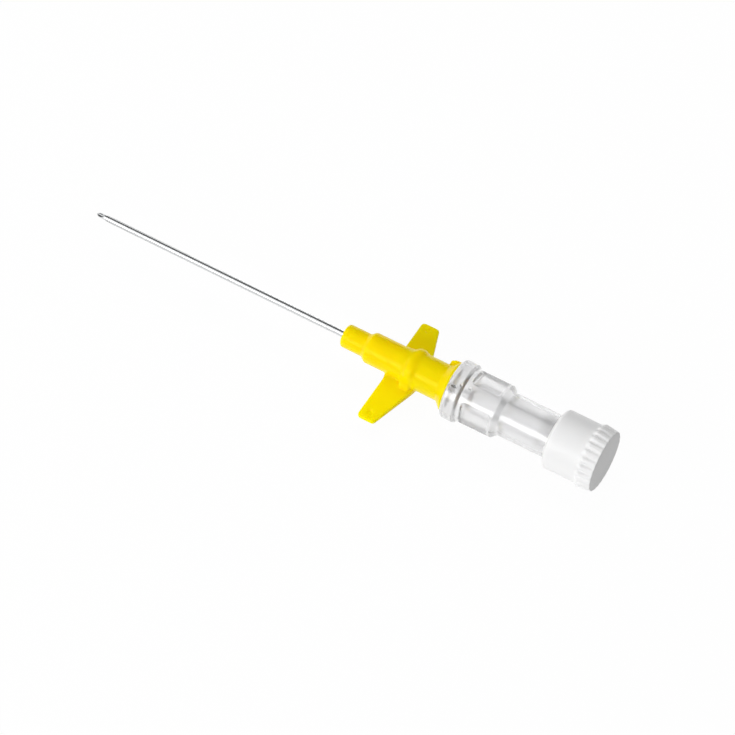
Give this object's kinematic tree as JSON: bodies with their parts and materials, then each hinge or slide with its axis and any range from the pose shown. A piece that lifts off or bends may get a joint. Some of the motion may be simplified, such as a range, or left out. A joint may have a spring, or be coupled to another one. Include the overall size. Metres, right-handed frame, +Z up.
{
  "type": "iv cannula",
  "caption": "Winged over-needle IV cannula with a soft catheter tube, a clear flash chamber and a ribbed white luer cap.",
  "frame": {"origin": "on the bore axis, in the middle of the nose stretch of the catheter hub that a needle sheath grips", "axes": "+X along the bore axis from the needle's point towards the cap, +Y towards one wing, +Z up, away from the drooping wings"},
  "size_m": [0.0861, 0.0198, 0.01],
  "materials": {
    "yellow_plastic": "moulded, satin gloss",
    "tube_plastic": "translucent, smooth",
    "steel": "drawn and ground",
    "clear_plastic": "clear moulded plastic",
    "filter_plastic": "porous, sintered",
    "white_plastic": "moulded, satin"
  },
  "bodies": {
    "catheter": {"catheter_hub": "yellow_plastic", "catheter_tube": "tube_plastic", "crimp_ferrule": "steel"},
    "needle_unit": {"needle_hub": "clear_plastic", "needle": "steel", "vent_filter": "filter_plastic"},
    "cap": {"luer_cap": "white_plastic"}
  },
  "joints": [
    {"name": "needle_withdraw", "type": "slide", "parent": "catheter", "child": "needle_unit", "axis": [1, 0, 0], "range_m": [0, 0.062]},
    {"name": "cap_pull", "type": "slide", "parent": "needle_unit", "child": "cap", "axis": [1, 0, 0], "range_m": [0, 0.009]}
  ]
}
